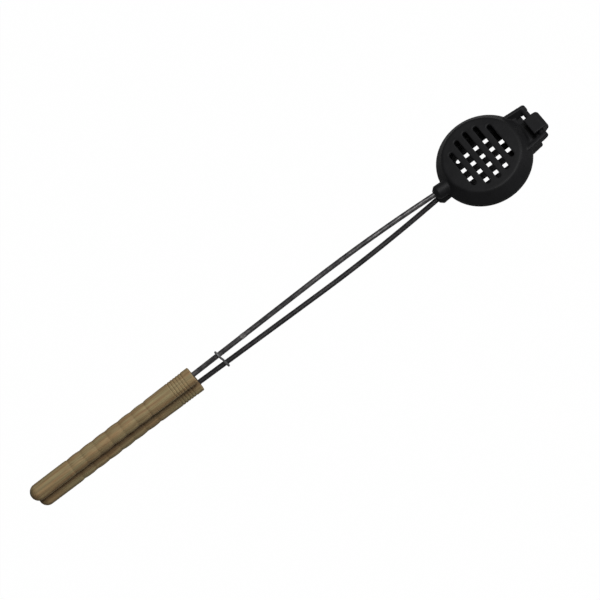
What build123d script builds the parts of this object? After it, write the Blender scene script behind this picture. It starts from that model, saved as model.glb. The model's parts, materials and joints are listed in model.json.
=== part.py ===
"""Burger iron: two hinged cast iron halves on long steel rods with turned wooden grips.

The origin is the centre of the lower half's flat outer face. +X runs along the iron from
the grips to the hinge, and +Z from the lower half to the upper one. The latch hook hangs
on the -Y side. Sizes are in millimetres.

Most pieces are drawn in the parting frame, where z is 0 on the plane in which the two
halves meet, and are lifted by HALF_DEPTH when they are written.
"""

import math
import os

from build123d import *

# Cooking head: two round, shallow pans that meet rim to rim
HEAD_RADIUS = 55.8
BAND_RADIUS = 55.3
BAND_HEIGHT = 3.2
FACE_RADIUS = 45.5
FACE_EDGE_RADIUS = 4.0
HALF_DEPTH = 16.0
PLATE_THICKNESS = 3.5
CAVITY_RADIUS = 50.0
CAVITY_FLOOR_RADIUS = 42.5
CAVITY_CORNER_RADIUS = 5.0
PARTING_GAP = 0.1

# Steam and fat slots, across the iron in the upper half and along it in the lower half
SLOT_COUNT = 5
SLOT_PITCH = 13.2
SLOT_WIDTH = 5.5
SLOT_FIELD_RADIUS = 36.5
SLOT_EDGE = 0.5

# Hinge: a bar between two ears on the upper half, in an open hook on the lower half.
# As cast it sits a little to the latch's side of the middle.
HINGE_CENTRE_Y = -1.0
BAR_X = 68.8
BAR_Z = 4.5
BAR_RADIUS = 3.5
BAR_CLEARANCE = 0.08
EAR_ROOT_X = 44.0
EAR_ROOT_Y = 26.5
EAR_TIP_Y = 23.8
EAR_ROOT_THICKNESS = 8.2
EAR_TOP_THICKNESS = 3.8
WEB_END_X = 56.7
WEB_HEIGHT = 3.2
PLATFORM_END_X = 63.0
PLATFORM_ROOT_Y = 26.5
PLATFORM_END_Y = 24.2
PLATFORM_DEPTH = 9.0
PLATFORM_CORNER = 2.5
HOOK_TOP_WIDTH = 22.4
HOOK_BOTTOM_WIDTH = 18.0
HOOK_FROM_MIDDLE = -4.9
HOOK_LIP_X = 60.7
HOOK_OUTER_X = 79.8
HOOK_TOP_Z = 12.0
HOOK_BOTTOM_Z = -6.0
HOOK_CROWN_RADIUS = 6.5
HOOK_HEEL_RADIUS = 9.5
CAST_EDGE = 1.2

# Lugs: round bosses that the rods screw into
LUG_RADIUS = 8.5
LUG_FACE_X = -68.5
LUG_ROOT_X = -42.0
LUG_NOSE_TAPER = 4.0

# Rods: mirror images, bowed apart between the head and the grips
ROD_RADIUS = 3.0
ROD_SEAT_CLEARANCE = 0.04
ROD_TIP_X = -53.0
ROD_TIP_Z = 4.5
ROD_RISE_DEG = 7.4
BOW_X = -162.4
BOW_RADIUS = 960.0
NECK_X = -401.0
NECK_RADIUS = 60.0
CRIMP_X = -334.0
CRIMP_LENGTH = 7.0
CRIMP_WIDTH = 6.5
CRIMP_THICKNESS = 4.4
CRIMP_EDGE = 1.4

# Grips: turned wood, each line running slightly towards the other at the domed end
GRIP_RADIUS = 10.0
GRIP_FRONT_X = -405.5
GRIP_FRONT_Z = 11.6
GRIP_END_X = -631.5
GRIP_END_Z = 10.4
LOWER_GRIP_SHORTER = 2.5
FIRST_VALLEY = 56.2
VALLEY_PITCH = 17.8
VALLEY_COUNT = 7
VALLEY_DEPTH = 0.7
SHOULDER_LENGTH = 5.0
RING_COUNT = 6
RING_PITCH = 3.65
LAST_RING_FROM_FRONT = 10.8
RING_WIDTH = 1.5
RING_DEPTH = 0.55
FLARE_START_FROM_FRONT = 52.0
RING_BAND_RADIUS = 10.3
COLLAR_LENGTH = 9.0
COLLAR_RADIUS = 10.4
COLLAR_EDGE = 1.2
BORE_DEPTH = 152.0
ROD_IN_GRIP = 150.0

# Latch: a wire hook that turns on the upper rod and reaches under the lower one
LATCH_X = -369.0
WIRE_RADIUS = 1.3
EYE_CLEARANCE = 0.08
EYE_PITCH = 2.4
EYE_TURNS = 0.75
SHANK_SHIFT = 0.6
SHANK_SHIFT_LENGTH = 7.0
CATCH_CLEARANCE = 0.4
CATCH_LENGTH = 3.6

# Reach of the blocks that cut a shape or hold it to one side
ACROSS = 40.0


def turned_over(shape):
    """Half a turn about the X axis, which takes the upper side to the lower side."""
    return Rot(180, 0, 0) * shape


def side_profile(outline):
    """A face in the XZ plane from an outline in (x, z)."""
    return Plane.XZ * make_face(outline)


# Cooking head

def dome():
    """The outside of one half, solid, from the parting plane outwards."""
    outline = FilletPolyline(
        (0, PARTING_GAP),
        (HEAD_RADIUS, PARTING_GAP),
        (BAND_RADIUS, BAND_HEIGHT),
        (FACE_RADIUS, HALF_DEPTH),
        (0, HALF_DEPTH),
        radius=(0, 0.6, 2.5, FACE_EDGE_RADIUS, 0),
        close=True,
    )
    return revolve(side_profile(outline), axis=Axis.Z)


def cavity():
    """The hollow that holds one half of the patty's thickness."""
    floor = HALF_DEPTH - PLATE_THICKNESS
    outline = FilletPolyline(
        (0, -1),
        (CAVITY_RADIUS, -1),
        (CAVITY_RADIUS, PARTING_GAP),
        (CAVITY_FLOOR_RADIUS, floor),
        (0, floor),
        radius=(0, 0, 0, CAVITY_CORNER_RADIUS, 0),
        close=True,
    )
    return revolve(side_profile(outline), axis=Axis.Z)


def slots(angle):
    """The cutters of one half's slots, which end on one circle, at an angle to X."""
    cutters = Part()
    for i in range(SLOT_COUNT):
        offset = (i - (SLOT_COUNT - 1) / 2) * SLOT_PITCH
        length = 2 * math.sqrt(SLOT_FIELD_RADIUS**2 - offset**2)
        slot = extrude(SlotOverall(length, SLOT_WIDTH), HALF_DEPTH)
        flare = extrude(SlotOverall(length, SLOT_WIDTH), 2 * SLOT_EDGE, taper=-45)
        cutters += Pos(0, offset, HALF_DEPTH / 2) * slot
        cutters += Pos(0, offset, HALF_DEPTH - SLOT_EDGE) * flare
    return Rot(0, 0, angle) * cutters


def rod_line():
    """Where the rod leaves the head: a point on its axis and its direction."""
    rise = math.radians(ROD_RISE_DEG)
    return Vector(ROD_TIP_X, 0, ROD_TIP_Z), Vector(-math.cos(rise), 0, math.sin(rise))


def along_rod_line(x):
    """The plane square to the rod's first line at x, facing away from the head."""
    start, direction = rod_line()
    point = start + direction * ((x - start.X) / direction.X)
    return Plane(point, z_dir=direction)


def lug():
    """The round boss on the dome with its tapered nose, cut off at the parting plane."""
    root = along_rod_line(LUG_ROOT_X)
    face = along_rod_line(LUG_FACE_X)
    length = (face.origin - root.origin).length
    boss = root * extrude(Circle(LUG_RADIUS), length)
    boss = chamfer(boss.edges().sort_by(Axis.X)[0], LUG_NOSE_TAPER)
    keep = Pos(0, 0, PARTING_GAP) * Box(
        4 * HEAD_RADIUS, ACROSS, ACROSS, align=(Align.CENTER, Align.CENTER, Align.MIN)
    )
    return boss & keep


def lug_hole():
    """The blind hole for the rod's end."""
    seat = along_rod_line(ROD_TIP_X)
    return seat * extrude(Circle(ROD_RADIUS + ROD_SEAT_CLEARANCE), ACROSS)


def cast_half(hinge, slot_angle):
    """One half of the head, in the parting frame with its flat face upwards."""
    body = dome() + hinge + lug()
    return body - cavity() - slots(slot_angle) - lug_hole()


# Hinge

def tapered_plan(root_y, end_y, end_x, height, draft=0.0):
    """A slab on the parting plane that narrows from the dome towards the hinge.

    With a draft, in degrees, it widens upwards.
    """
    outline = Polyline(
        (0, -root_y),
        (EAR_ROOT_X, -root_y),
        (end_x, -end_y),
        (end_x, end_y),
        (EAR_ROOT_X, root_y),
        (0, root_y),
        close=True,
    )
    face = make_face(outline)
    return Pos(0, 0, PARTING_GAP) * extrude(face, height - PARTING_GAP, taper=-draft)


def beyond(x):
    """Everything on the hinge's side of x."""
    return Pos(x, 0, 0) * Box(
        100, 100, 100, align=(Align.MIN, Align.CENTER, Align.CENTER)
    )


def ears_bar_and_web():
    """The upper half's hinge frame: two ears, the bar between them and the web."""
    tip_x = BAR_X + BAR_Z
    ear_height = 2 * BAR_Z
    outer = tapered_plan(EAR_ROOT_Y, EAR_TIP_Y, tip_x, ear_height)
    thinning = (EAR_ROOT_THICKNESS - EAR_TOP_THICKNESS) / (ear_height - PARTING_GAP)
    inner = tapered_plan(
        EAR_ROOT_Y - EAR_ROOT_THICKNESS,
        EAR_TIP_Y - EAR_ROOT_THICKNESS,
        tip_x,
        ear_height,
        draft=math.degrees(math.atan(thinning)),
    )
    outline = FilletPolyline(
        (EAR_ROOT_X - 2, PARTING_GAP),
        (tip_x, PARTING_GAP),
        (tip_x, ear_height),
        (EAR_ROOT_X - 2, ear_height),
        radius=(0, BAR_Z - PARTING_GAP, BAR_Z - PARTING_GAP, 0),
        close=True,
    )
    side = extrude(side_profile(outline), ACROSS, both=True)
    ears = (outer - inner) & side
    bar = Pos(BAR_X, 0, BAR_Z) * Rot(90, 0, 0) * Cylinder(BAR_RADIUS, 2 * EAR_TIP_Y - 4)
    web = inner & beyond(EAR_ROOT_X - 2)
    web = web - beyond(WEB_END_X)
    web = web & Box(400, 400, 2 * WEB_HEIGHT)
    web = fillet(
        web.edges().filter_by(Axis.Y).group_by(Axis.X)[-1].sort_by(Axis.Z)[-1], CAST_EDGE
    )
    return Pos(0, HINGE_CENTRE_Y, 0) * (ears + web + bar)


def hook_draft():
    """The hook's width, which narrows downwards so that the casting leaves its mould."""
    outline = Polyline(
        (-HOOK_BOTTOM_WIDTH / 2, HOOK_BOTTOM_Z),
        (HOOK_BOTTOM_WIDTH / 2, HOOK_BOTTOM_Z),
        (HOOK_TOP_WIDTH / 2, HOOK_TOP_Z),
        (-HOOK_TOP_WIDTH / 2, HOOK_TOP_Z),
        close=True,
    )
    return extrude(Plane.YZ * make_face(outline), 2 * ACROSS + BAR_X)


def platform_and_hook():
    """The lower half's hinge in the parting frame: a slab, and the hook round the bar."""
    slab = tapered_plan(PLATFORM_ROOT_Y, PLATFORM_END_Y, PLATFORM_END_X, PLATFORM_DEPTH)
    slab = slab & beyond(EAR_ROOT_X - 2)
    corners = slab.edges().filter_by(Axis.Z).group_by(Axis.X)[-1]
    slab = turned_over(fillet(corners, PLATFORM_CORNER))

    bore = BAR_RADIUS + BAR_CLEARANCE
    outline = FilletPolyline(
        (PLATFORM_END_X - 4, HOOK_BOTTOM_Z),
        (HOOK_OUTER_X, HOOK_BOTTOM_Z),
        (HOOK_OUTER_X, HOOK_TOP_Z),
        (HOOK_LIP_X, HOOK_TOP_Z),
        (HOOK_LIP_X, BAR_Z),
        (PLATFORM_END_X, BAR_Z),
        (PLATFORM_END_X, -PARTING_GAP),
        (PLATFORM_END_X - 4, -PARTING_GAP),
        radius=(0, HOOK_HEEL_RADIUS, HOOK_CROWN_RADIUS, CAST_EDGE, 0, 0, 0, 0),
        close=True,
    )
    hook = extrude(side_profile(outline), ACROSS, both=True) & hook_draft()
    seat = Pos(BAR_X, 0, BAR_Z) * Rot(90, 0, 0) * Cylinder(bore, ACROSS)
    mouth = Pos(BAR_X, 0, BAR_Z) * Box(
        ACROSS, ACROSS, 2 * bore, align=(Align.MAX, Align.CENTER, Align.CENTER)
    )
    hook = Pos(0, HOOK_FROM_MIDDLE, 0) * (hook - seat - mouth)
    return Pos(0, HINGE_CENTRE_Y, 0) * (slab + hook)


# Rods

def rod_path():
    """The rod's axis, from its end in the head to its end in the grip."""
    start, direction = rod_line()
    bow_z = start.Z + (BOW_X - start.X) * direction.Z / direction.X
    grip_slope = (GRIP_FRONT_Z - GRIP_END_Z) / (GRIP_FRONT_X - GRIP_END_X)
    neck_z = GRIP_FRONT_Z + (NECK_X - GRIP_FRONT_X) * grip_slope
    end_x = GRIP_FRONT_X - ROD_IN_GRIP
    end_z = GRIP_FRONT_Z - ROD_IN_GRIP * grip_slope
    points = ((start.X, start.Z), (BOW_X, bow_z), (NECK_X, neck_z), (end_x, end_z))
    return Plane.XZ * FilletPolyline(*points, radius=(BOW_RADIUS, NECK_RADIUS))


def rod_plane(x):
    """The plane on the rod's straight stretch before the grip, with its x along the rod."""
    straight = rod_path().edges().filter_by(GeomType.LINE).sort_by(Axis.X)[1]
    low, high = sorted((straight @ 0, straight @ 1), key=lambda point: point.X)
    direction = (high - low).normalized()
    point = low + direction * ((x - low.X) / direction.X)
    return Plane(point, x_dir=direction, z_dir=Vector(0, 1, 0).cross(-direction))


def rod():
    """One bowed rod, as the upper one lies."""
    path = rod_path()
    section = Plane(path @ 0, z_dir=path % 0) * Circle(ROD_RADIUS)
    return sweep(section, path=path)


def crimped(plain_rod):
    """The rod with the flattened stop that keeps the latch near the grips."""
    spread = Box(CRIMP_LENGTH, CRIMP_WIDTH, CRIMP_THICKNESS)
    spread = fillet(spread.edges().filter_by(Axis.Z), CRIMP_EDGE)
    pressed = Pos(0, 0, CRIMP_THICKNESS / 2) * Box(
        CRIMP_LENGTH, ACROSS, ACROSS, align=(Align.CENTER, Align.CENTER, Align.MIN)
    )
    place = rod_plane(CRIMP_X)
    return plain_rod - place * pressed - place * turned_over(pressed) + place * spread


# Grips

def arc_to(start, end, rise):
    """An arc from start to end whose middle stands rise above the chord's middle."""
    middle = ((start[0] + end[0]) / 2, (start[1] + end[1]) / 2 + rise)
    return ThreePointArc(start, middle, end)


def grip_outline(length):
    """Half of the turned grip's outline, from the domed end at x = 0 to the front."""
    edges = []
    valley_radius = GRIP_RADIUS - VALLEY_DEPTH
    half_chord = GRIP_RADIUS * math.sqrt(0.5)
    edges.append(
        ThreePointArc(
            (0, 0), (GRIP_RADIUS - half_chord, half_chord), (GRIP_RADIUS, GRIP_RADIUS)
        )
    )
    shoulder = (FIRST_VALLEY - SHOULDER_LENGTH, GRIP_RADIUS)
    edges.append(Line((GRIP_RADIUS, GRIP_RADIUS), shoulder))
    here = (FIRST_VALLEY, valley_radius)
    edges.append(arc_to(shoulder, here, VALLEY_DEPTH / 4))
    for i in range(1, VALLEY_COUNT):
        valley = (FIRST_VALLEY + i * VALLEY_PITCH, valley_radius)
        edges.append(arc_to(here, valley, VALLEY_DEPTH))
        here = valley
    shoulder = (here[0] + SHOULDER_LENGTH, GRIP_RADIUS)
    edges.append(arc_to(here, shoulder, VALLEY_DEPTH / 4))

    flare = (length - FLARE_START_FROM_FRONT, GRIP_RADIUS)
    edges.append(Line(shoulder, flare))
    here = flare
    for i in range(RING_COUNT):
        middle = length - LAST_RING_FROM_FRONT - (RING_COUNT - 1 - i) * RING_PITCH
        near = (middle - RING_WIDTH / 2, RING_BAND_RADIUS)
        far = (middle + RING_WIDTH / 2, RING_BAND_RADIUS)
        edges.append(Line(here, near))
        edges.append(arc_to(near, far, -RING_DEPTH))
        here = far
    collar = (length - COLLAR_LENGTH, COLLAR_RADIUS)
    edges.append(Line(here, collar))
    edges.append(Line(collar, (length - COLLAR_EDGE, COLLAR_RADIUS)))
    front = (length, COLLAR_RADIUS - COLLAR_EDGE)
    edges.append(RadiusArc((length - COLLAR_EDGE, COLLAR_RADIUS), front, COLLAR_EDGE))
    edges.append(Line(front, (length, 0)))
    edges.append(Line((length, 0), (0, 0)))
    return edges


def grip(shorter):
    """One grip in the parting frame, as the upper one lies."""
    run = GRIP_FRONT_X - GRIP_END_X
    slope = math.degrees(math.atan2(GRIP_FRONT_Z - GRIP_END_Z, run))
    length = math.hypot(run, GRIP_FRONT_Z - GRIP_END_Z) - shorter
    wood = revolve(make_face(grip_outline(length)), axis=Axis.X)
    bore = Pos(length - BORE_DEPTH, 0, 0) * Rot(0, 90, 0) * Cylinder(
        ROD_RADIUS + ROD_SEAT_CLEARANCE,
        2 * BORE_DEPTH,
        align=(Align.CENTER, Align.CENTER, Align.MIN),
    )
    place = Pos(GRIP_FRONT_X, 0, GRIP_FRONT_Z) * Rot(0, -slope, 0) * Pos(-length, 0, 0)
    return place * (wood - bore)


# Latch

def wire_along(path):
    """Round wire along an edge or a wire."""
    return sweep(Plane(path @ 0, z_dir=path % 0) * Circle(WIRE_RADIUS), path=path)


def latch_hook():
    """The wire hook: an eye round the upper rod, a shank and a catch under the lower rod."""
    eye_radius = ROD_RADIUS + EYE_CLEARANCE + WIRE_RADIUS
    eye = Helix(EYE_PITCH, EYE_PITCH * EYE_TURNS, eye_radius, direction=(-1, 0, 0))
    start = eye @ 0
    eye = Rot(math.degrees(math.atan2(start.Z, -start.Y)), 0, 0) * eye

    place = rod_plane(LATCH_X)
    drop = 2 * place.origin.Z
    catch_radius = ROD_RADIUS + CATCH_CLEARANCE + WIRE_RADIUS
    downwards = ((0, 0, -1), (0, 0, -1))
    shift = Spline(
        (0, -eye_radius, 0),
        (SHANK_SHIFT, -catch_radius, -SHANK_SHIFT_LENGTH),
        tangents=downwards,
    )
    shank = Line(shift @ 1, (SHANK_SHIFT, -catch_radius, -drop))
    half_way = catch_radius * math.sqrt(0.5)
    bend = ThreePointArc(
        shank @ 1,
        (SHANK_SHIFT, -half_way, -drop - half_way),
        (SHANK_SHIFT, 0, -drop - catch_radius),
    )
    catch = Line(bend @ 1, bend @ 1 + Vector(0, CATCH_LENGTH, 0))
    return place * (wire_along(eye) + wire_along(Wire([shift, shank, bend, catch])))


def build():
    """Every piece by its node's name, in the iron's own frame."""
    upper = cast_half(ears_bar_and_web(), 90)
    lower = cast_half(turned_over(platform_and_hook()), 0)
    pieces = {
        "upper_plate": upper,
        "lower_plate": turned_over(lower),
        "upper_rod": crimped(rod()),
        "lower_rod": turned_over(rod()),
        "upper_grip": grip(0),
        "lower_grip": turned_over(grip(LOWER_GRIP_SHORTER)),
        "latch_hook": latch_hook(),
    }
    return {name: Pos(0, 0, HALF_DEPTH) * piece for name, piece in pieces.items()}


os.makedirs("parts", exist_ok=True)
for node, shape in build().items():
    export_step(shape, f"parts/{node}.step")
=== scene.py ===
"""Burger iron: the looks around its packed construction.

Every length is in metres, in the construction's own frame: +X runs from the grips to the
hinge, +Z from the lower half to the upper one, and the latch hangs on the -Y side.
"""

import json
import math

import bmesh
import bpy
from bpy.props import FloatProperty, FloatVectorProperty, IntProperty, PointerProperty
from mathutils import Matrix, Vector

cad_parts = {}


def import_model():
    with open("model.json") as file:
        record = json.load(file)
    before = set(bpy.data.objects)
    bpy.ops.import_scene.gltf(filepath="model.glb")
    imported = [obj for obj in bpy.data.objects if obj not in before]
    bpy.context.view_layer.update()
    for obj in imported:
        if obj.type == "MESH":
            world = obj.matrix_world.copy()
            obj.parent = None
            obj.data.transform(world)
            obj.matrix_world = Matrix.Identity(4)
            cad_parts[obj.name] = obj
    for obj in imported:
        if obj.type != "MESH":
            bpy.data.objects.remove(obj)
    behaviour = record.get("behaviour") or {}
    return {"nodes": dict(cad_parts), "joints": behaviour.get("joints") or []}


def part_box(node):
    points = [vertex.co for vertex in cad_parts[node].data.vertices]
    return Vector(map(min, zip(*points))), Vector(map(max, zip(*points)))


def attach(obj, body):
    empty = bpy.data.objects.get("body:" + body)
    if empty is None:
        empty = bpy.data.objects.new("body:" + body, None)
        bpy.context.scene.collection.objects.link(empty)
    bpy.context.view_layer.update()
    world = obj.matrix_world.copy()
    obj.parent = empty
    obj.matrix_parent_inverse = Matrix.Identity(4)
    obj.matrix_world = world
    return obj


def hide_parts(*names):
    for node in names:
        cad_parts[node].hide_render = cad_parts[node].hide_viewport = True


bl_info = {
    "name": "Burger iron",
    "version": (1, 0, 0),
    "blender": (4, 5, 0),
    "location": "3D View > Sidebar > Burger iron",
    "description": "Builds the castings, rods, grips and latch of a long handled burger iron",
    "category": "Object",
}

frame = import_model()
NODES = frame["nodes"]
JOINTS = {joint["name"]: joint for joint in frame["joints"]}
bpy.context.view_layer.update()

MM = 0.001

# The plane in which the two halves meet, half way between the mirrored rods
PARTING_Z = (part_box("upper_rod")[1].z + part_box("lower_rod")[0].z) / 2
HINGE = Vector(JOINTS["head_hinge"]["pos_m"])
LATCH_PIVOT = Vector(JOINTS["latch_swing"]["pos_m"])
LATCH_AXIS = Vector(JOINTS["latch_swing"]["axis"]).normalized()

UPPER = 1
LOWER = -1
HALVES = {UPPER: "upper", LOWER: "lower"}
LAMPS = ("key", "fill", "edge")

# Points of the construction's meshes that are nearer to each other than this are one point
SAME_POINT = 0.002 * MM
# The same for the seam and the poles of a grip
SAME_SEAM_POINT = 0.01 * MM
# How far the floor lies under the iron's lowest points, so that the two never flicker
FLOOR_GAP = 0.05 * MM
# Decimals, in metres, that are kept of the points on which the floor is laid
RESTING_DECIMALS = 5
# A crimp centred here lies far past the object, which leaves its bar round
NO_CRIMP_X = 1.0
# Inputs that the trees of the rods and the grips take from the settings of the same names
BAR_SIZES = ("Radius", "Step", "Sides", "Crimp length", "Crimp thickness")
GRIP_SIZES = (
    "Radius", "First valley", "Valley pitch", "Valley depth", "Shoulder", "Last ring",
    "Ring pitch", "Ring width", "Ring depth", "Flare", "Flare start", "Collar", "Collar step",
    "Collar edge", "Bore", "Bore depth", "Step", "Groove soil", "Valley soil", "Inner soil",
)


def srgb(red, green, blue):
    """A linear colour from the 0 to 255 values that a picture shows."""
    def linear(value):
        share = value / 255
        if share <= 0.04045:
            return share / 12.92
        return ((share + 0.055) / 1.055) ** 2.4
    return linear(red), linear(green), linear(blue)


# Settings

def length(name, description, default):
    """A length in metres."""
    return FloatProperty(
        name=name, description=description, default=default, unit="LENGTH", precision=5
    )


def turn(name, description, degrees):
    """An angle, given in degrees."""
    return FloatProperty(
        name=name, description=description, default=math.radians(degrees), subtype="ANGLE"
    )


def number(name, description, default):
    """A plain factor."""
    return FloatProperty(name=name, description=description, default=default, precision=3)


def count(name, description, default):
    """A whole number."""
    return IntProperty(name=name, description=description, default=default)


def watts(name, description, default):
    """The power of a lamp."""
    return FloatProperty(name=name, description=description, default=default, unit="POWER")


def colour(name, description, default):
    """A linear colour."""
    return FloatVectorProperty(
        name=name, description=description, default=default, subtype="COLOR", min=0, max=1
    )


def spot(name, description, default):
    """A point or a shift in the construction's frame, in metres."""
    return FloatVectorProperty(name=name, description=description, default=default, unit="LENGTH")


def rectangle(name, description, default):
    """The two sides of a rectangle, in metres."""
    return FloatVectorProperty(
        name=name, description=description, default=default, unit="LENGTH", size=2
    )


class CastingSettings(bpy.types.PropertyGroup):
    """Sizes and colours of the two cast halves."""

    cell: length("Mesh cell", "Size of one face of the cast skin", 0.62 * MM)
    softening: count("Softening", "Rounds of smoothing that round off the edges", 7)
    sand_size: length("Sand size", "Width of the swells left by the sand mould", 3.2 * MM)
    sand_depth: length("Sand depth", "Height of those swells", 0.16 * MM)
    hinge_reach: length("Hinge reach", "Distance from the hinge's axis without swells", 5.5 * MM)
    skin: colour("Skin", "Seasoned iron", srgb(21, 21, 22))
    clouding: number("Clouding", "How much light the darkest patches keep", 0.72)
    worn: colour("Worn", "Iron rubbed bare on edges", srgb(52, 52, 54))
    # Painted shade: a near-black colour laid into the deep gap in front of the hook, where the hook
    # and its lip shade the ledge beneath.
    recess_shade: colour("Soot", "Soot caked in front of the hook", srgb(5, 5, 5))
    recess_shade_low: spot(
        "Soot's low corner", "Lowest corner of the sooted recess", (57.0 * MM, -16.4 * MM, 9.0 * MM)
    )
    recess_shade_high: spot(
        "Soot's high corner", "Highest corner of the recess", (62.4 * MM, 9.2 * MM, 18.6 * MM)
    )
    recess_shade_blur: length("Soot's blur", "Width over which the soot fades out", 0.5 * MM)
    sheen: number("Sheen", "Strength of the reflection", 0.07)


class RodSettings(bpy.types.PropertyGroup):
    """Route and colours of the bowed rods."""

    radius: length("Radius", "Radius of the rod", 3.0 * MM)
    tip_x: length("Tip X", "Where the rod ends in the lug", -53.0 * MM)
    tip_rise: length("Tip height", "Height of that end over the parting plane", 4.5 * MM)
    rise: turn("Rise", "Angle at which the rod leaves the head", 7.4)
    bow_x: length("Bow X", "Corner of the bow", -162.4 * MM)
    bow_radius: length("Bow radius", "Radius of the bow", 960.0 * MM)
    neck_x: length("Neck X", "Corner in front of the grip", -401.0 * MM)
    neck_radius: length("Neck radius", "Radius of that corner", 60.0 * MM)
    sunk: length("Sunk", "Length of the rod inside the grip", 150.0 * MM)
    crimp_x: length("Crimp X", "Where the upper rod is flattened", -334.0 * MM)
    crimp_length: length("Crimp length", "Length of the flat", 7.0 * MM)
    crimp_width: length("Crimp width", "Width of the flattened rod", 6.5 * MM)
    crimp_thickness: length("Crimp thickness", "Thickness of the flattened rod", 4.4 * MM)
    step: length("Step", "Length of one face along the rod", 1.0 * MM)
    sides: count("Sides", "Faces round the rod", 40)
    scale: colour("Scale", "Dark mill scale", srgb(27, 26, 28))
    rubbed: colour("Rubbed", "Steel rubbed bright in streaks", srgb(128, 125, 124))
    # The upper rod carries more of the bright streaks than the lower one, so it comes out lighter
    # overall.
    upper_streak_share: number("Upper rubbing", "Share rubbed bright where the latch slides", 0.5)
    lower_streak_share: number("Lower rubbing", "Share rubbed bright on the other rod", 0.2)
    pressed_rubbing: number("Pressed rubbing", "Share rubbed bright on the crimp", 0.6)
    sheen: number("Sheen", "Strength of the reflection", 0.15)


class GripSettings(bpy.types.PropertyGroup):
    """Turned shape and colours of the wooden grips."""

    radius: length("Radius", "Radius of the grip", 10.0 * MM)
    front_x: length("Front X", "Front face on the axis", -405.5 * MM)
    front_rise: length("Front height", "Height of the front over the parting plane", 11.6 * MM)
    end_rise: length("End height", "Height of the domed end over the parting plane", 10.4 * MM)
    first_valley: length("First valley", "First valley from the domed end", 56.2 * MM)
    valley_pitch: length("Valley pitch", "From valley to valley", 17.8 * MM)
    valley_depth: length("Valley depth", "Depth of a valley", 0.7 * MM)
    valleys: count("Valleys", "Number of valleys", 7)
    shoulder: length("Shoulder", "Run from the outer valleys to full size", 5.0 * MM)
    last_ring: length("Last ring", "Last ring groove from the front", 10.8 * MM)
    ring_pitch: length("Ring pitch", "From groove to groove", 3.65 * MM)
    ring_width: length("Ring width", "Width of a groove", 1.5 * MM)
    ring_depth: length("Ring depth", "Depth of a groove", 0.55 * MM)
    rings: count("Rings", "Number of ring grooves", 6)
    flare: length("Flare", "Growth in radius towards the grooves", 0.3 * MM)
    flare_start: length("Flare start", "Start of that growth from the front", 52.0 * MM)
    collar: length("Collar", "Width of the plain collar at the front", 9.0 * MM)
    collar_step: length("Collar step", "Height of the collar over the grooves' band", 0.1 * MM)
    collar_edge: length("Collar edge", "Rounding of the collar's edge", 1.2 * MM)
    bore: length("Bore", "Radius of the mouth of the bore", 3.3 * MM)
    bore_depth: length("Bore depth", "Depth of that mouth", 3.0 * MM)
    step: length("Step", "Length of one face along the grip", 0.32 * MM)
    sides: count("Sides", "Faces round the grip", 56)
    light_wood: colour("Light wood", "Wood between the rings", srgb(143, 131, 97))
    dark_wood: colour("Dark wood", "Late wood and pores", srgb(84, 69, 49))
    warm_wood: colour("Warm wood", "Orange-brown streaks", srgb(141, 113, 80))
    dark_rings: number("Dark rings", "Share of dark wood in the growth rings", 0.5)
    dark_pores: number("Dark pores", "Share of dark wood in the pores", 0.16)
    # A dark tint for the ring grooves and the valleys, and painted shade on the side of each grip
    # that faces the other grip, which shades it.
    shade_and_hollow_tint: colour("Soil", "Old oil and soot where no hand rubs", srgb(64, 45, 28))
    groove_soil: number("Soil in grooves", "Share of soil in a ring groove", 0.09)
    valley_soil: number("Soil in valleys", "Share of soil at the bottom of a valley", 0.06)
    inner_soil: number("Soil inside", "Share of soil on the side that faces the other grip", 0.78)
    sheen: number("Sheen", "Strength of the reflection", 0.1)
    lower_figure: spot(
        "Lower figure", "Shift of the lower grip's figure, so that the two differ",
        (0.31, 0.07, 0.02),
    )


class LatchSettings(bpy.types.PropertyGroup):
    """Bent wire of the latch."""

    wire: length("Wire radius", "Radius of the wire", 1.3 * MM)
    eye: length("Eye radius", "Radius of the eye at the wire's centre", 4.38 * MM)
    pitch: length("Eye pitch", "Advance of the eye in one turn", 2.4 * MM)
    turns: number("Eye turns", "Turns of the eye", 0.75)
    shift: length("Shank shift", "Step of the shank towards the head", 0.6 * MM)
    shift_length: length("Shift length", "Height over which it shifts", 7.0 * MM)
    catch: length("Catch radius", "Radius of the bend under the lower rod", 4.7 * MM)
    reach: length("Catch reach", "Straight end of the catch", 3.6 * MM)
    step: length("Step", "Length of one face along the wire", 0.35 * MM)
    sides: count("Sides", "Faces round the wire", 20)
    eye_steps: count("Eye steps", "Points on the eye's route", 64)
    shift_steps: count("Shift steps", "Points on the shank's shift", 12)
    catch_steps: count("Catch steps", "Points on the bend under the lower rod", 16)
    metal: colour("Metal", "Dull wire", srgb(62, 62, 63))
    brightening: number("Brightening", "How much brighter its brightest patches are", 2.0)


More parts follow.
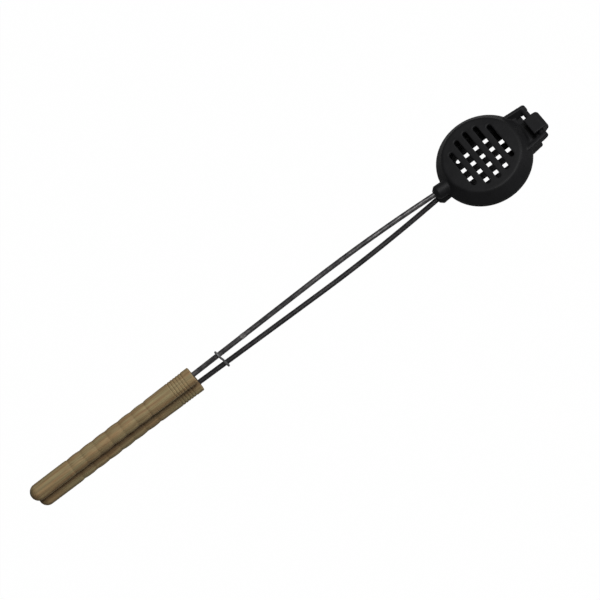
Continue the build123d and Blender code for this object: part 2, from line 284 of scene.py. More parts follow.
class StageSettings(bpy.types.PropertyGroup):
    """Floor, lamps and camera."""

    floor_size: length("Floor", "Side of the floor", 12.0)
    balance: length("Balance", "X of the iron's centre of mass", -103.0 * MM)
    floor_colour: colour(
        "Floor colour", "How much of the light the floor throws back", (0.24, 0.24, 0.24)
    )
    paper: number("Paper", "Share of plain white that the camera sees in the floor", 0.995)
    ambient: number("Ambient", "Strength of the light from all round", 0.135)
    mirrored: number("Mirrored", "How white the surroundings look in reflections", 0.2)
    key_power: watts("Key power", "Power of the large lamp over the object", 28.0)
    key_place: spot("Key place", "Centre of that lamp", (0.3, -0.25, 1.4))
    key_aim: spot("Key aim", "Point that it shines at", (-0.25, 0, 0))
    key_size: rectangle("Key size", "Sides of that lamp", (1.4, 0.3))
    fill_power: watts("Fill power", "Power of the lamp on the camera's side", 1.6)
    fill_place: spot("Fill place", "Centre of that lamp", (-0.1, -1.1, 0.95))
    fill_aim: spot("Fill aim", "Point that it shines at", (-0.1, 0, 0))
    fill_size: rectangle("Fill size", "Sides of that lamp", (0.7, 0.4))
    edge_power: watts("Edge power", "Power of the small lamp beyond the hinge", 6.0)
    edge_place: spot("Edge place", "Centre of that lamp", (1.05, -0.2, 0.62))
    edge_aim: spot("Edge aim", "Point that it shines at", (0, 0, 0.02))
    edge_size: rectangle("Edge size", "Sides of that lamp", (0.3, 0.3))
    aim: spot("Aim", "Point that the camera looks at", (-0.259292, -0.000094, 0.015950))
    elevation: turn("Elevation", "Height of the camera over the parting plane", 61.976)
    roll: turn("Roll", "Turn of the camera about its own axis", 37.088)
    distance: length("Distance", "From the aim to the camera", 3.17054)
    view_angle: turn("View angle", "Across the picture", 12.1083)


SETTINGS = {
    "iron_casting": CastingSettings,
    "iron_rod": RodSettings,
    "iron_grip": GripSettings,
    "iron_latch": LatchSettings,
    "iron_stage": StageSettings,
}


# Node trees

class Field:
    """A number in a node tree. Arithmetic on it adds Math nodes."""

    def __init__(self, tree, source):
        self.tree = tree
        self.socket = output_of(source)

    def math(self, operation, *others):
        """The result of one Math node."""
        node = self.tree.nodes.new("ShaderNodeMath")
        node.operation = operation
        for socket, value in zip(node.inputs, (self, *others)):
            feed(self.tree, socket, value)
        return Field(self.tree, node)

    def __add__(self, other):
        return self.math("ADD", other)

    def __sub__(self, other):
        return self.math("SUBTRACT", other)

    def __mul__(self, other):
        return self.math("MULTIPLY", other)

    def __truediv__(self, other):
        return self.math("DIVIDE", other)

    def least(self, other):
        """The smaller of two numbers."""
        return self.math("MINIMUM", other)

    def most(self, other):
        """The larger of two numbers."""
        return self.math("MAXIMUM", other)

    def within(self, low, high):
        """The number held between two others."""
        return self.most(low).least(high)

    def size(self):
        """The number without its sign."""
        return self.math("ABSOLUTE")

    def root(self):
        """The square root, and 0 below it."""
        return self.most(0).math("SQRT")

    def squared(self):
        """The number times itself."""
        return self * self

    def left_from_one(self):
        """One less the number."""
        return (self * -1) + 1


def output_of(value):
    """The output that a field or a node stands for, a node for its first one."""
    if isinstance(value, Field):
        return value.socket
    if isinstance(value, bpy.types.Node):
        return value.outputs[0]
    return value


def feed(tree, socket, value):
    """Links a socket to a field, a node or an output, or sets it to a plain value."""
    value = output_of(value)
    if isinstance(value, bpy.types.NodeSocket):
        tree.links.new(value, socket)
    else:
        socket.default_value = value


def constant(tree, value):
    """A plain number to begin a calculation with."""
    field = Field(tree, tree.nodes.new("ShaderNodeValue"))
    field.socket.default_value = value
    return field


def add(tree, kind, values=None, **settings):
    """Adds a node, sets its properties and feeds its inputs by name or number."""
    node = tree.nodes.new(kind)
    for name, value in settings.items():
        setattr(node, name, value)
    for key, value in (values or {}).items():
        feed(tree, node.inputs[key], value)
    return node


def noise(tree, vector, scale, detail, roughness):
    """Noise around 0.5, of so many cells to a unit of the vector."""
    return Field(tree, add(
        tree, "ShaderNodeTexNoise",
        {"Vector": vector, "Scale": scale, "Detail": detail, "Roughness": roughness},
    ))


def new_tree(name, kind, inputs, outputs):
    """A node tree with named sockets, its inputs and outputs as (name, type)."""
    tree = bpy.data.node_groups.new(name, kind)
    for direction, sockets in (("INPUT", inputs), ("OUTPUT", outputs)):
        for label, socket_type in sockets:
            tree.interface.new_socket(
                name=label, in_out=direction, socket_type="NodeSocket" + socket_type
            )
    source = tree.nodes.new("NodeGroupInput")
    result = tree.nodes.new("NodeGroupOutput")
    return tree, source.outputs, result.inputs


def geometry_tree(name, inputs):
    """A Geometry Nodes tree, with a shape and a material besides its own inputs."""
    return new_tree(
        name, "GeometryNodeTree",
        [("Geometry", "Geometry"), *inputs, ("Material", "Material")],
        [("Geometry", "Geometry")],
    )


def finish_geometry(tree, geometry, material, result):
    """Ends a geometry tree: smooth shading, real geometry and its material."""
    smooth = add(tree, "GeometryNodeSetShadeSmooth", {"Geometry": geometry})
    real = add(tree, "GeometryNodeRealizeInstances", {"Geometry": smooth})
    dressed = add(tree, "GeometryNodeSetMaterial", {"Geometry": real, "Material": material})
    feed(tree, result["Geometry"], dressed)


def cast_skin_tree():
    """Swells of a sand mould on a mesh, left out near the hinge."""
    tree, source, result = geometry_tree("cast_skin", (
        ("Swell size", "Float"), ("Swell depth", "Float"), ("Hinge X", "Float"),
        ("Hinge Z", "Float"), ("Clear radius", "Float"),
    ))
    position = add(tree, "GeometryNodeInputPosition")
    place = add(tree, "ShaderNodeSeparateXYZ", {0: position}).outputs
    scale = constant(tree, 1) / source["Swell size"]
    swells = noise(tree, position, scale, detail=3.0, roughness=0.55)

    # None within the clear radius of the hinge, and all of them from twice that radius
    across = Field(tree, place["X"]) - source["Hinge X"]
    above = Field(tree, place["Z"]) - source["Hinge Z"]
    away = (across.squared() + above.squared()).root() / source["Clear radius"]
    mask = (away - 1).within(0, 1)
    height = (swells - 0.5) * source["Swell depth"] * mask
    normal = add(tree, "GeometryNodeInputNormal")
    offset = add(tree, "ShaderNodeVectorMath", {0: normal, "Scale": height}, operation="SCALE")
    moved = add(
        tree, "GeometryNodeSetPosition", {"Geometry": source["Geometry"], "Offset": offset}
    )
    finish_geometry(tree, moved, source["Material"], result)
    return tree


def round_bar_tree(fillet_steps=48, crimp_fade=2.4):
    """Round bar along a route of straight runs and fillets, flattened where it is crimped.

    The crimp is full in its middle, and fades out over its half length divided by crimp_fade.
    """
    tree, source, result = geometry_tree("round_bar", (
        ("Radius", "Float"), ("Step", "Float"), ("Sides", "Int"), ("Crimp X", "Float"),
        ("Crimp length", "Float"), ("Crimp widening", "Float"), ("Crimp thickness", "Float"),
    ))
    route = add(tree, "GeometryNodeMeshToCurve", {"Mesh": source["Geometry"]})
    bend = add(tree, "GeometryNodeInputNamedAttribute", {"Name": "bend"}, data_type="FLOAT")
    rounded = add(
        tree, "GeometryNodeFilletCurve",
        {"Curve": route, "Count": fillet_steps, "Radius": bend, "Limit Radius": True},
        mode="POLY",
    )
    even = add(
        tree, "GeometryNodeResampleCurve", {"Curve": rounded, "Length": source["Step"]},
        mode="LENGTH",
    )
    upright = add(tree, "GeometryNodeSetCurveNormal", {"Curve": even})
    position = add(tree, "GeometryNodeInputPosition")
    kept = tree.nodes.new("GeometryNodeCaptureAttribute")
    kept.capture_items.new("VECTOR", "Centre")
    feed(tree, kept.inputs[0], upright)
    feed(tree, kept.inputs[1], position)
    circle = add(
        tree, "GeometryNodeCurvePrimitiveCircle",
        {"Resolution": source["Sides"], "Radius": source["Radius"]},
    )
    bar = add(
        tree, "GeometryNodeCurveToMesh",
        {"Curve": kept, "Profile Curve": circle, "Fill Caps": True},
    )

    centre = add(tree, "ShaderNodeSeparateXYZ", {0: kept.outputs[1]}).outputs
    place = add(tree, "ShaderNodeSeparateXYZ", {0: position}).outputs
    half = Field(tree, source["Crimp length"]) * 0.5
    near = half - (Field(tree, centre["X"]) - source["Crimp X"]).size()
    weight = ((near / half) * crimp_fade).within(0, 1)
    across = Field(tree, place["Y"]) - centre["Y"]
    above = Field(tree, place["Z"]) - centre["Z"]
    thickness = Field(tree, source["Crimp thickness"])
    flat = above.within(thickness * -0.5, thickness * 0.5)
    wide = across * (Field(tree, source["Crimp widening"]) * weight + 1)
    high = above + (flat - above) * weight
    shaped = add(
        tree, "ShaderNodeCombineXYZ",
        {"X": place["X"], "Y": wide + centre["Y"], "Z": high + centre["Z"]},
    )
    marked = add(
        tree, "GeometryNodeStoreNamedAttribute",
        {"Geometry": bar, "Name": "pressed", "Value": weight}, data_type="FLOAT",
    )
    moved = add(tree, "GeometryNodeSetPosition", {"Geometry": marked, "Position": shaped})
    finish_geometry(tree, moved, source["Material"], result)
    return tree


def in_valleys(value, along):
    """1 at the bottom of a valley, down to 0 on the ridges and past the outer valleys."""
    valley = (along - value["First valley"]) / value["Valley pitch"]
    held = valley.within(0, value["Last valley number"])
    bottom = (held.math("FRACT") * 2 - 1).size()
    beyond = (valley - held).size() * value["Valley pitch"] / value["Shoulder"]
    return bottom * beyond.within(0, 1).left_from_one()


def in_grooves(value, front):
    """1 in the middle of a ring groove, down to 0 at its edges."""
    groove = (front - value["Last ring"]) / value["Ring pitch"]
    nearest = groove.math("ROUND").within(0, value["Last ring number"])
    off = (groove - nearest).size() * value["Ring pitch"] / (value["Ring width"] * 0.5)
    return off.squared().left_from_one().most(0)


def turned_radius(value, along, front, dip, cut, flare_end=3, collar_ramp=0.1):
    """The grip's radius at a distance along it from its domed end, and from its front.

    The flare is full at flare_end collar widths from the front, and the collar steps up over
    collar_ramp of its width.
    """
    inside_dome = (value["Radius"] - along).most(0)
    dome = (value["Radius"].squared() - inside_dome.squared()).root()
    flare_run = value["Flare start"] - value["Collar"] * flare_end
    flare = ((value["Flare start"] - front) / flare_run).within(0, 1)
    ramp = value["Collar"] * collar_ramp
    collar = ((value["Collar"] * (1 + collar_ramp) - front) / ramp).within(0, 1)
    edge = (value["Collar edge"] - front).most(0)
    rounding = value["Collar edge"] - (value["Collar edge"].squared() - edge.squared()).root()
    return (
        dome - dip.squared() * value["Valley depth"] - cut * value["Ring depth"]
        + flare * value["Flare"] + collar * value["Collar step"] - rounding
    )


def turned_grip_tree(inner_start=0.5, inner_fade=0.4):
    """A grip turned on a lathe: domed end, valleys, flare, ring grooves, collar and bore.

    Its inner side, which gets painted shade, starts where the surface leans inwards by
    inner_start, as the sine of the angle, and is full inner_fade further on.
    """
    floats = (
        *GRIP_SIZES, "Length", "Last valley number", "Last ring number", "End X", "End Z", "Tilt",
        "Inward",
    )
    tree, source, result = geometry_tree("turned_grip", (
        ("Rings", "Int"), ("Sides", "Int"), *((name, "Float") for name in floats),
    ))
    value = {name: Field(tree, source[name]) for name in floats}

    # A grid of rings and sides, whose first and last columns meet at a seam
    columns = Field(tree, source["Sides"]) + 1
    grid = add(
        tree, "GeometryNodeMeshGrid",
        {"Size X": 1.0, "Size Y": 1.0, "Vertices X": source["Rings"], "Vertices Y": columns},
    )
    index = Field(tree, add(tree, "GeometryNodeInputIndex"))
    ring = (index / columns).math("FLOOR")
    side = index - ring * columns
    run = ring * value["Step"]

    along = run.least(value["Length"])
    front = value["Length"] - along
    dip = in_valleys(value, along)
    cut = in_grooves(value, front)
    turned = turned_radius(value, along, front, dip, cut)

    # The run goes on from the collar down the front face, then back into the bore, where the
    # last ring is a point that closes it
    past_front = (run - value["Length"]).most(0)
    open_ring = (Field(tree, source["Rings"]) - 1.5).math("GREATER_THAN", ring)
    radius = (turned - past_front).most(value["Bore"].least(turned)) * open_ring
    face = value["Radius"] + value["Flare"] + value["Collar step"]
    face = face - value["Collar edge"] - value["Bore"]
    depth = (past_front - face).within(0, value["Bore depth"])
    along = along - depth

    angle = side / source["Sides"] * math.tau
    upwards = angle.math("SINE")
    height = upwards * radius
    # Painted shade on the side that faces the other grip. The ring grooves and the valleys are
    # darkened as well.
    inner = ((upwards * value["Inward"] - inner_start) / inner_fade).within(0, 1)
    soiled = (
        cut * value["Groove soil"] + dip.squared().squared() * value["Valley soil"]
        + inner * value["Inner soil"]
    )
    cosine = value["Tilt"].math("COSINE")
    sine = value["Tilt"].math("SINE")
    shaped = add(
        tree, "ShaderNodeCombineXYZ",
        {
            "X": value["End X"] + along * cosine - height * sine,
            "Y": angle.math("COSINE") * radius,
            "Z": value["End Z"] + along * sine + height * cosine,
        },
    )
    marked = add(
        tree, "GeometryNodeStoreNamedAttribute",
        {"Geometry": grid, "Name": "soiled", "Value": soiled}, data_type="FLOAT",
    )
    moved = add(tree, "GeometryNodeSetPosition", {"Geometry": marked, "Position": shaped})
    closed = add(
        tree, "GeometryNodeMergeByDistance", {"Geometry": moved, "Distance": SAME_SEAM_POINT}
    )
    finish_geometry(tree, closed, source["Material"], result)
    return tree


def with_nodes(source, name, values):
    """Puts a shared Geometry Nodes tree on an object, its inputs set by name."""
    modifier = source.modifiers.new(name, "NODES")
    modifier.node_group = built(name)
    for item in modifier.node_group.interface.items_tree:
        if item.in_out == "INPUT" and item.name in values:
            modifier[item.identifier] = values[item.name]


def same_named(settings, names):
    """Settings as the values of the tree inputs that bear their names."""
    return {name: getattr(settings, name.lower().replace(" ", "_")) for name in names}


def new_object(name, data):
    """An object at the origin, in the scene."""
    piece = bpy.data.objects.new(name, data)
    bpy.context.scene.collection.objects.link(piece)
    return piece


def finished(name, source, body, node):
    """Turns an object's evaluated shape into a plain mesh that rides on a body."""
    depsgraph = bpy.context.evaluated_depsgraph_get()
    mesh = bpy.data.meshes.new_from_object(source.evaluated_get(depsgraph))
    bpy.data.objects.remove(source)
    mesh.name = name
    piece = new_object(name, mesh)
    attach(piece, body)
    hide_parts(node)
    return piece


def route_object(name, points, bends):
    """An open line of points, each with the radius of its bend."""
    mesh = bpy.data.meshes.new(name)
    mesh.from_pydata(points, [(i, i + 1) for i in range(len(points) - 1)], [])
    attribute = mesh.attributes.new("bend", "FLOAT", "POINT")
    attribute.data.foreach_set("value", bends)
    return new_object(name, mesh)


# Shared effects

def object_coordinates(tree, shift=(0, 0, 0)):
    """The object's own coordinates, moved by a shift."""
    coordinates = add(tree, "ShaderNodeTexCoord")
    return add(
        tree, "ShaderNodeMapping", {"Vector": coordinates.outputs["Object"], "Location": shift}
    )


def put_out(tree, height, contrast, result):
    """Puts a noise out as a mask for colour and as a height for bumps."""
    mask = ((height - 0.5) * contrast + 0.5).within(0, 1)
    feed(tree, result["Mask"], mask)
    feed(tree, result["Height"], height)


def stored(tree, name):
    """A number that a Geometry Nodes tree stored on the surface."""
    return add(tree, "ShaderNodeAttribute", attribute_name=name).outputs["Fac"]


def grain_group():
    """Noise of one size: a mask for colour and a height for bumps."""
    tree, source, result = new_tree(
        "grain",
        "ShaderNodeTree",
        [("Vector", "Vector"), ("Scale", "Float"), ("Contrast", "Float")],
        [("Mask", "Float"), ("Height", "Float")],
    )
    height = noise(tree, source["Vector"], source["Scale"], detail=5.0, roughness=0.6)
    put_out(tree, height, source["Contrast"], result)
    return tree


def wear_group(blunt=0.515, edge_gain=14, bare=0.38, patch_gain=3):
    """Edges rubbed bare, broken up by noise.

    Wear begins at edges more pointed than blunt, and only where the noise is over bare. The
    gains say how fast it then becomes full.
    """
    tree, source, result = new_tree(
        "edge_wear",
        "ShaderNodeTree",
        [("Vector", "Vector"), ("Scale", "Float"), ("Amount", "Float")],
        [("Mask", "Float")],
    )
    pointed = Field(tree, add(tree, "ShaderNodeNewGeometry").outputs["Pointiness"])
    patches = noise(tree, source["Vector"], source["Scale"], detail=4.0, roughness=0.7)
    edge = ((pointed - blunt) * edge_gain).within(0, 1)
    broken = ((patches - bare) * patch_gain).within(0, 1)
    feed(tree, result["Mask"], (edge * broken * source["Amount"]).within(0, 1))
    return tree


def streak_group():
    """Streaks that run along X: long thin noise as a mask and a height."""
    tree, source, result = new_tree(
        "streaks",
        "ShaderNodeTree",
        [("Vector", "Vector"), ("Length", "Float"), ("Width", "Float"), ("Contrast", "Float")],
        [("Mask", "Float"), ("Height", "Float")],
    )
    place = add(tree, "ShaderNodeSeparateXYZ", {0: source["Vector"]}).outputs
    stretched = add(
        tree, "ShaderNodeCombineXYZ",
        {
            "X": Field(tree, place["X"]) / source["Length"],
            "Y": Field(tree, place["Y"]) / source["Width"],
            "Z": Field(tree, place["Z"]) / source["Width"],
        },
    )
    height = noise(tree, stretched, 1.0, detail=4.0, roughness=0.62)
    put_out(tree, height, source["Contrast"], result)
    return tree


def recess_group():
    """A box with soft sides: the mask for painted shade in a recess."""
    tree, source, result = new_tree(
        "recess",
        "ShaderNodeTree",
        [("Vector", "Vector"), ("Low", "Vector"), ("High", "Vector"), ("Blur", "Float")],
        [("Mask", "Float")],
    )
    place, low, high = (
        add(tree, "ShaderNodeSeparateXYZ", {0: source[name]}).outputs
        for name in ("Vector", "Low", "High")
    )
    mask = constant(tree, 1)
    for axis in "XYZ":
        past_low = (Field(tree, place[axis]) - low[axis]) / source["Blur"]
        short_of_high = (Field(tree, high[axis]) - place[axis]) / source["Blur"]
        mask = mask * past_low.within(0, 1) * short_of_high.within(0, 1)
    feed(tree, result["Mask"], mask)
    return tree


TREES = {
    "cast_skin": cast_skin_tree,
    "round_bar": round_bar_tree,
    "turned_grip": turned_grip_tree,
    "grain": grain_group,
    "edge_wear": wear_group,
    "streaks": streak_group,
    "recess": recess_group,
}


def built(name):
    """A shared tree, built the first time that it is wanted."""
    return bpy.data.node_groups.get(name) or TREES[name]()


def effect(tree, name, **values):
    """Places a shared effect in a material."""
    return add(tree, "ShaderNodeGroup", values, node_tree=built(name)).outputs


def mixed(tree, share, first, second):
    """A colour between two others: the node's inputs 6 and 7 and its output 2 are colours."""
    node = add(tree, "ShaderNodeMix", data_type="RGBA")
    feed(tree, node.inputs[0], share)
    for socket, value in ((node.inputs[6], first), (node.inputs[7], second)):
        feed(tree, socket, value if isinstance(value, bpy.types.NodeSocket) else (*value, 1))
    return node.outputs[2]


def new_material(name):
    """An empty material with its surface output."""
    material = bpy.data.materials.new(name)
    material.use_nodes = True
    tree = material.node_tree
    tree.nodes.clear()
    return material, tree, add(tree, "ShaderNodeOutputMaterial").inputs["Surface"]


def principled(tree, surface, values):
    """Ends a material with a Principled shader."""
    feed(tree, surface, add(tree, "ShaderNodeBsdfPrincipled", values))


def bumped(tree, height, strength, distance):
    """A normal from a height."""
    return add(
        tree, "ShaderNodeBump", {"Height": height, "Strength": strength, "Distance": distance}
    )


# Materials

def seasoned_iron(name, settings):
    """Cast iron with a baked-on, near black seasoning."""
    material, tree, surface = new_material(name)
    vector = object_coordinates(tree)
    sand = effect(tree, "grain", Vector=vector, Scale=1100.0, Contrast=2.2)
    cloud = effect(tree, "grain", Vector=vector, Scale=55.0, Contrast=2.6)
    worn = effect(tree, "edge_wear", Vector=vector, Scale=240.0, Amount=0.55)
    dark = tuple(channel * settings.clouding for channel in settings.skin)
    skin = mixed(tree, cloud["Mask"], dark, settings.skin)
    rubbed = mixed(tree, worn["Mask"], skin, settings.worn)
    # The recess mask lays near-black painted shade into the shaded gap in front of the hook.
    recess = effect(
        tree, "recess",
        Vector=vector, Low=settings.recess_shade_low, High=settings.recess_shade_high, Blur=settings.recess_shade_blur,
    )
    principled(tree, surface, {
        "Base Color": mixed(tree, recess["Mask"], rubbed, settings.recess_shade),
        "Roughness": Field(tree, sand["Mask"]) * 0.12 + Field(tree, cloud["Mask"]) * 0.1 + 0.38,
        "Specular IOR Level": settings.sheen,
        "Normal": bumped(tree, sand["Height"], strength=0.5, distance=0.12 * MM),
    })
    return material


def rod_steel(name, settings, rubbing):
    """Drawn steel under dark scale, rubbed bright in lengthwise streaks."""
    material, tree, surface = new_material(name)
    vector = object_coordinates(tree)
    rub = effect(
        tree, "streaks", Vector=vector, Length=26 * MM, Width=0.7 * MM, Contrast=4.2
    )
    cloud = effect(tree, "grain", Vector=vector, Scale=120.0, Contrast=3.0)
    worn = effect(tree, "edge_wear", Vector=vector, Scale=300.0, Amount=0.8)
    pressed = Field(tree, stored(tree, "pressed")) * settings.pressed_rubbing
    share = Field(tree, rub["Mask"]) * cloud["Mask"] * rubbing + worn["Mask"] + pressed
    share = share.within(0, 1)
    principled(tree, surface, {
        "Base Color": mixed(tree, share, settings.scale, settings.rubbed),
        "Metallic": share * 0.8,
        "Roughness": share * -0.1 + 0.34,
        "Specular IOR Level": settings.sheen,
        "Normal": bumped(tree, rub["Height"], strength=0.35, distance=0.08 * MM),
    })
    return material


def latch_steel(settings):
    """Dull bent wire with brighter patches."""
    material, tree, surface = new_material("latch_steel")
    vector = object_coordinates(tree)
    cloud = effect(tree, "grain", Vector=vector, Scale=420.0, Contrast=2.4)
    bright = tuple(channel * settings.brightening for channel in settings.metal)
    principled(tree, surface, {
        "Base Color": mixed(tree, cloud["Mask"], settings.metal, bright),
        "Metallic": 0.2,
        "Roughness": Field(tree, cloud["Mask"]) * 0.15 + 0.34,
        "Normal": bumped(tree, cloud["Height"], strength=0.3, distance=0.05 * MM),
    })
    return material


def turned_wood(name, settings, shift):
    """Pale hardwood: growth rings cut lengthwise, fine streaks, grooves and valleys darkened, and
    painted shade on the side that faces the other grip.
    """
    material, tree, surface = new_material(name)
    vector = object_coordinates(tree, shift=shift)
    figure = effect(
        tree, "streaks", Vector=vector, Length=90 * MM, Width=2.2 * MM, Contrast=3.6
    )
    tint = effect(
        tree, "streaks", Vector=vector, Length=48 * MM, Width=4.4 * MM, Contrast=3.6
    )
    fibre = effect(
        tree, "streaks", Vector=vector, Length=26 * MM, Width=0.6 * MM, Contrast=3.4
    )
    pale = mixed(tree, tint["Mask"], settings.light_wood, settings.warm_wood)
    rings = Field(tree, figure["Mask"]) * settings.dark_rings
    pores = Field(tree, fibre["Mask"]) * settings.dark_pores
    wood = mixed(tree, rings + pores, pale, settings.dark_wood)
    # The stored mask darkens the grooves and valleys, and lays painted shade on the side that faces
    # the other grip.
    principled(tree, surface, {
        "Base Color": mixed(tree, stored(tree, "soiled"), wood, settings.shade_and_hollow_tint),
        "Roughness": Field(tree, fibre["Mask"]) * 0.12 + 0.5,
        "Specular IOR Level": settings.sheen,
        "Normal": bumped(tree, fibre["Height"], strength=0.35, distance=0.1 * MM),
    })
    return material


def seen_directly(tree, mirrored):
    """1 for what the camera sees straight or through glass, less for what it sees mirrored."""
    path = add(tree, "ShaderNodeLightPath").outputs
    straight = Field(tree, path["Is Camera Ray"]).most(path["Is Transmission Ray"])
    return straight.most(Field(tree, path["Is Glossy Ray"]) * mirrored)


def paper_floor(settings):
    """White paper, which the camera sees as almost plain white, and reflections as darker."""
    material, tree, surface = new_material("paper")
    seen = seen_directly(tree, settings.mirrored)
    lit = add(tree, "ShaderNodeBsdfDiffuse", {"Color": (*settings.floor_colour, 1)})
    white = add(tree, "ShaderNodeEmission", {"Color": (1, 1, 1, 1), "Strength": 1.0})
    both = add(tree, "ShaderNodeMixShader", {0: seen * settings.paper, 1: lit, 2: white})
    feed(tree, surface, both)
    return material


# Pieces

def casting(half, settings):
    """One cast half: the construction's shape with soft edges and a sand-cast skin."""
    side = HALVES[half]
    node = side + "_plate"
    mesh = NODES[node].data.copy()
    work = bmesh.new()
    work.from_mesh(mesh)
    bmesh.ops.remove_doubles(work, verts=work.verts, dist=SAME_POINT)
    work.to_mesh(mesh)
    work.free()
    mesh.materials.clear()
    source = new_object(node + "_work", mesh)
    remesh = source.modifiers.new("even_cells", "REMESH")
    remesh.mode = "VOXEL"
    remesh.voxel_size = settings.cell
    soften = source.modifiers.new("soften", "SMOOTH")
    soften.factor = 0.5
    soften.iterations = settings.softening
    with_nodes(source, "cast_skin", {
        "Swell size": settings.sand_size,
        "Swell depth": settings.sand_depth,
        "Hinge X": HINGE.x,
        "Hinge Z": HINGE.z,
        "Clear radius": settings.hinge_reach,
        "Material": seasoned_iron(side + "_iron", settings),
    })
    return finished(side + "_casting", source, side + "_half", node)


def rod(half, settings, grips, steel):
    """One bowed rod, from its end in the lug to its end in the grip."""
    side = HALVES[half]
    slope = (grips.front_rise - grips.end_rise) / (grips.front_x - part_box(side + "_grip")[0].x)
    bow_rise = settings.tip_rise + (settings.tip_x - settings.bow_x) * math.tan(settings.rise)
    neck_rise = grips.front_rise + (settings.neck_x - grips.front_x) * slope
    end_x = grips.front_x - settings.sunk
    end_rise = grips.front_rise - settings.sunk * slope
    corners = (
        (settings.tip_x, settings.tip_rise, 0),
        (settings.bow_x, bow_rise, settings.bow_radius),
        (settings.neck_x, neck_rise, settings.neck_radius),
        (end_x, end_rise, 0),
    )
    points = [(x, 0, PARTING_Z + half * rise) for x, rise, bend in corners]
    source = route_object(side + "_rod_route", points, [bend for x, rise, bend in corners])
    with_nodes(source, "round_bar", same_named(settings, BAR_SIZES) | {
        "Crimp X": settings.crimp_x if half == UPPER else NO_CRIMP_X,
        "Crimp widening": settings.crimp_width / (2 * settings.radius) - 1,
        "Material": steel,
    })
    return finished(side + "_bar", source, side + "_half", side + "_rod")


def grip(half, settings, wood):
    """One turned grip. The lower one is the upper one mirrored, and shorter at its domed end."""
    side = HALVES[half]
    end_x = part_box(side + "_grip")[0].x

    # Points of the XZ plane, their height taken from the parting plane
    front = Vector((settings.front_x, half * settings.front_rise))
    upper_end = Vector((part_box("upper_grip")[0].x, half * settings.end_rise))
    axis = (front - upper_end).normalized()
    shorter = end_x - upper_end.x
    total = (front - upper_end).length - shorter
    end = front - axis * total

    # Rings for the outside, the front face and the bore, with the first one and the point
    front_radius = settings.radius + settings.flare + settings.collar_step
    face = front_radius - settings.collar_edge - settings.bore
    rings = round((total + face + settings.bore_depth) / settings.step) + 2
    mesh = bpy.data.meshes.new(side + "_grip_work")
    source = new_object(side + "_grip_work", mesh)
    with_nodes(source, "turned_grip", same_named(settings, GRIP_SIZES) | {
        "Rings": rings,
        "Sides": settings.sides,
        "Length": total,
        "Last valley number": settings.valleys - 1.0,
        "Last ring number": settings.rings - 1.0,
        "End X": end.x,
        "End Z": PARTING_Z + end.y,
        "Tilt": math.atan2(axis.y, axis.x),
        "Inward": -half,
        "Material": wood,
    })
    return finished(side + "_handle", source, side + "_half", side + "_grip")


def latch_points(settings, drop):
    """The wire's route in the latch's own frame, from the eye's free end to the catch."""
    points = []
    for i in range(settings.eye_steps + 1):
        share = settings.turns * (1 - i / settings.eye_steps)
        angle = math.tau * share
        points.append((
            -settings.pitch * share,
            -settings.eye * math.cos(angle),
            settings.eye * math.sin(angle),
        ))
    for i in range(1, settings.shift_steps + 1):
        share = i / settings.shift_steps
        points.append((
            settings.shift * share**2 * (3 - 2 * share),
            -settings.eye - (settings.catch - settings.eye) * share,
            -settings.shift_length * share,
        ))
    points.append((settings.shift, -settings.catch, -drop))
    for i in range(1, settings.catch_steps + 1):
        angle = math.radians(90) * i / settings.catch_steps
        points.append((
            settings.shift,
            -settings.catch * math.cos(angle),
            -drop - settings.catch * math.sin(angle),
        ))
    points.append((settings.shift, settings.reach, -drop - settings.catch))
    return points


def latch(settings, metal):
    """The bent wire that holds the rods together."""
    along = -LATCH_AXIS
    up = along.cross(Vector((0, 1, 0)))
    place = Matrix((along, Vector((0, 1, 0)), up)).transposed()
    drop = 2 * (LATCH_PIVOT.z - PARTING_Z)
    points = [LATCH_PIVOT + place @ Vector(point) for point in latch_points(settings, drop)]
    source = route_object("latch_route", points, [0.0] * len(points))
    with_nodes(source, "round_bar", {
        "Radius": settings.wire,
        "Step": settings.step,
        "Sides": settings.sides,
        "Crimp X": NO_CRIMP_X,
        "Crimp length": MM,
        "Crimp widening": 0.0,
        "Crimp thickness": 2 * settings.wire,
        "Material": metal,
    })
    return finished("latch_wire", source, "latch", "latch_hook")


# Stage

def floor_line(balance_x):
    """Slope and height at X = 0 of the floor that the iron rests on, its weight over a given X."""
    points = sorted({
        (round(vertex.co.x, RESTING_DECIMALS), round(vertex.co.z, RESTING_DECIMALS))
        for name, node in NODES.items() if name != "latch_hook"
        for vertex in node.data.vertices
    })
    hull = []
    for point in points:
        while len(hull) > 1 and not turns_left(hull[-2], hull[-1], point):
            hull.pop()
        hull.append(point)
    for (x, z), (next_x, next_z) in zip(hull, hull[1:]):
        if x <= balance_x <= next_x:
            slope = (next_z - z) / (next_x - x)
            return slope, z - slope * x
    raise RuntimeError("the iron balances on nothing")


def turns_left(first, second, third):
    """Whether the way through three points in a plane turns to the left."""
    ahead = (second[0] - first[0], second[1] - first[1])
    after = (third[0] - second[0], third[1] - second[1])
    return ahead[0] * after[1] - ahead[1] * after[0] > 0


def floor(settings):
    """The floor, laid against the iron's lowest points."""
    slope, height = floor_line(settings.balance)
    reach = settings.floor_size / 2
    corners = [
        (x, y, height + slope * x - FLOOR_GAP)
        for x, y in ((-reach, -reach), (reach, -reach), (reach, reach), (-reach, reach))
    ]
    mesh = bpy.data.meshes.new("floor")
    mesh.from_pydata(corners, [], [(0, 1, 2, 3)])
    mesh.materials.append(paper_floor(settings))
    new_object("floor", mesh)


def world(settings):
    """Plain light from all round, seen as white."""
    sky = bpy.data.worlds.new("studio")
    sky.use_nodes = True
    tree = sky.node_tree
    tree.nodes.clear()
    strength = seen_directly(tree, settings.mirrored).most(settings.ambient)
    light = add(tree, "ShaderNodeBackground", {"Color": (1, 1, 1, 1), "Strength": strength})
    add(tree, "ShaderNodeOutputWorld", {"Surface": light})
    bpy.context.scene.world = sky


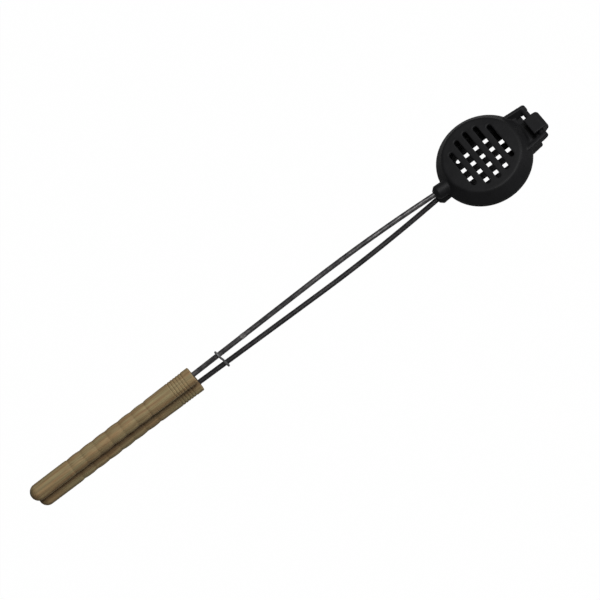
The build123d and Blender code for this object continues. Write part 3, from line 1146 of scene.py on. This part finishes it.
def lamp(name, settings):
    """A soft lamp, turned from its place towards its aim."""
    place = Vector(getattr(settings, name + "_place"))
    aim = Vector(getattr(settings, name + "_aim"))
    light = bpy.data.lights.new(name, "AREA")
    light.shape = "RECTANGLE"
    light.size, light.size_y = getattr(settings, name + "_size")
    light.energy = getattr(settings, name + "_power")
    holder = new_object(name, light)
    holder.location = place
    holder.rotation_euler = (aim - place).to_track_quat("-Z", "Y").to_euler()


def camera(settings):
    """The camera at the photograph's angle: its picture's X axis rolled from the iron's."""
    high = settings.elevation
    back = Vector((0, -math.cos(high), math.sin(high)))
    along = Vector((1, 0, 0))
    up = back.cross(along)
    right = along * math.cos(settings.roll) - up * math.sin(settings.roll)
    top = along * math.sin(settings.roll) + up * math.cos(settings.roll)
    data = bpy.data.cameras.new("camera")
    data.angle = settings.view_angle
    data.clip_end = 100
    holder = new_object("camera", data)
    turned = Matrix((right, top, back)).transposed().to_4x4()
    holder.matrix_world = Matrix.Translation(Vector(settings.aim) + back * settings.distance) @ turned
    bpy.context.scene.camera = holder


# Add-on

class IRON_OT_castings(bpy.types.Operator):
    """Make the two cast halves of the head"""

    bl_idname = "iron.castings"
    bl_label = "Castings"

    def execute(self, context):
        for half in HALVES:
            casting(half, context.scene.iron_casting)
        return {"FINISHED"}


class IRON_OT_rods(bpy.types.Operator):
    """Make the two bowed rods"""

    bl_idname = "iron.rods"
    bl_label = "Rods"

    def execute(self, context):
        settings = context.scene.iron_rod
        for half, rubbing in ((UPPER, settings.upper_streak_share), (LOWER, settings.lower_streak_share)):
            steel = rod_steel(HALVES[half] + "_steel", settings, rubbing)
            rod(half, settings, context.scene.iron_grip, steel)
        return {"FINISHED"}


class IRON_OT_grips(bpy.types.Operator):
    """Make the two turned grips"""

    bl_idname = "iron.grips"
    bl_label = "Grips"

    def execute(self, context):
        settings = context.scene.iron_grip
        for half, shift in ((UPPER, (0, 0, 0)), (LOWER, settings.lower_figure)):
            grip(half, settings, turned_wood(HALVES[half] + "_wood", settings, shift))
        return {"FINISHED"}


class IRON_OT_latch(bpy.types.Operator):
    """Make the wire latch"""

    bl_idname = "iron.latch"
    bl_label = "Latch"

    def execute(self, context):
        settings = context.scene.iron_latch
        latch(settings, latch_steel(settings))
        return {"FINISHED"}


class IRON_OT_stage(bpy.types.Operator):
    """Make the floor, the light and the camera"""

    bl_idname = "iron.stage"
    bl_label = "Stage"

    def execute(self, context):
        settings = context.scene.iron_stage
        context.scene.view_settings.view_transform = "Standard"
        floor(settings)
        world(settings)
        for name in LAMPS:
            lamp(name, settings)
        camera(settings)
        return {"FINISHED"}


OPERATORS = (
    IRON_OT_castings, IRON_OT_rods, IRON_OT_grips, IRON_OT_latch, IRON_OT_stage
)


class IRON_PT_panel(bpy.types.Panel):
    """Lists the operators in the sidebar"""

    bl_label = "Burger iron"
    bl_idname = "IRON_PT_panel"
    bl_space_type = "VIEW_3D"
    bl_region_type = "UI"
    bl_category = "Burger iron"

    def draw(self, context):
        for operator in OPERATORS:
            self.layout.operator(operator.bl_idname)


CLASSES = (*SETTINGS.values(), *OPERATORS, IRON_PT_panel)


def register():
    """Registers the classes and puts the settings on the scene."""
    for item in CLASSES:
        bpy.utils.register_class(item)
    for name, group in SETTINGS.items():
        setattr(bpy.types.Scene, name, PointerProperty(type=group))


def unregister():
    """Takes the settings and the classes away again."""
    for name in SETTINGS:
        delattr(bpy.types.Scene, name)
    for item in reversed(CLASSES):
        bpy.utils.unregister_class(item)


def main():
    """Builds everything."""
    register()
    bpy.ops.iron.castings()
    bpy.ops.iron.rods()
    bpy.ops.iron.grips()
    bpy.ops.iron.latch()
    bpy.ops.iron.stage()


if __name__ == "__main__":
    main()
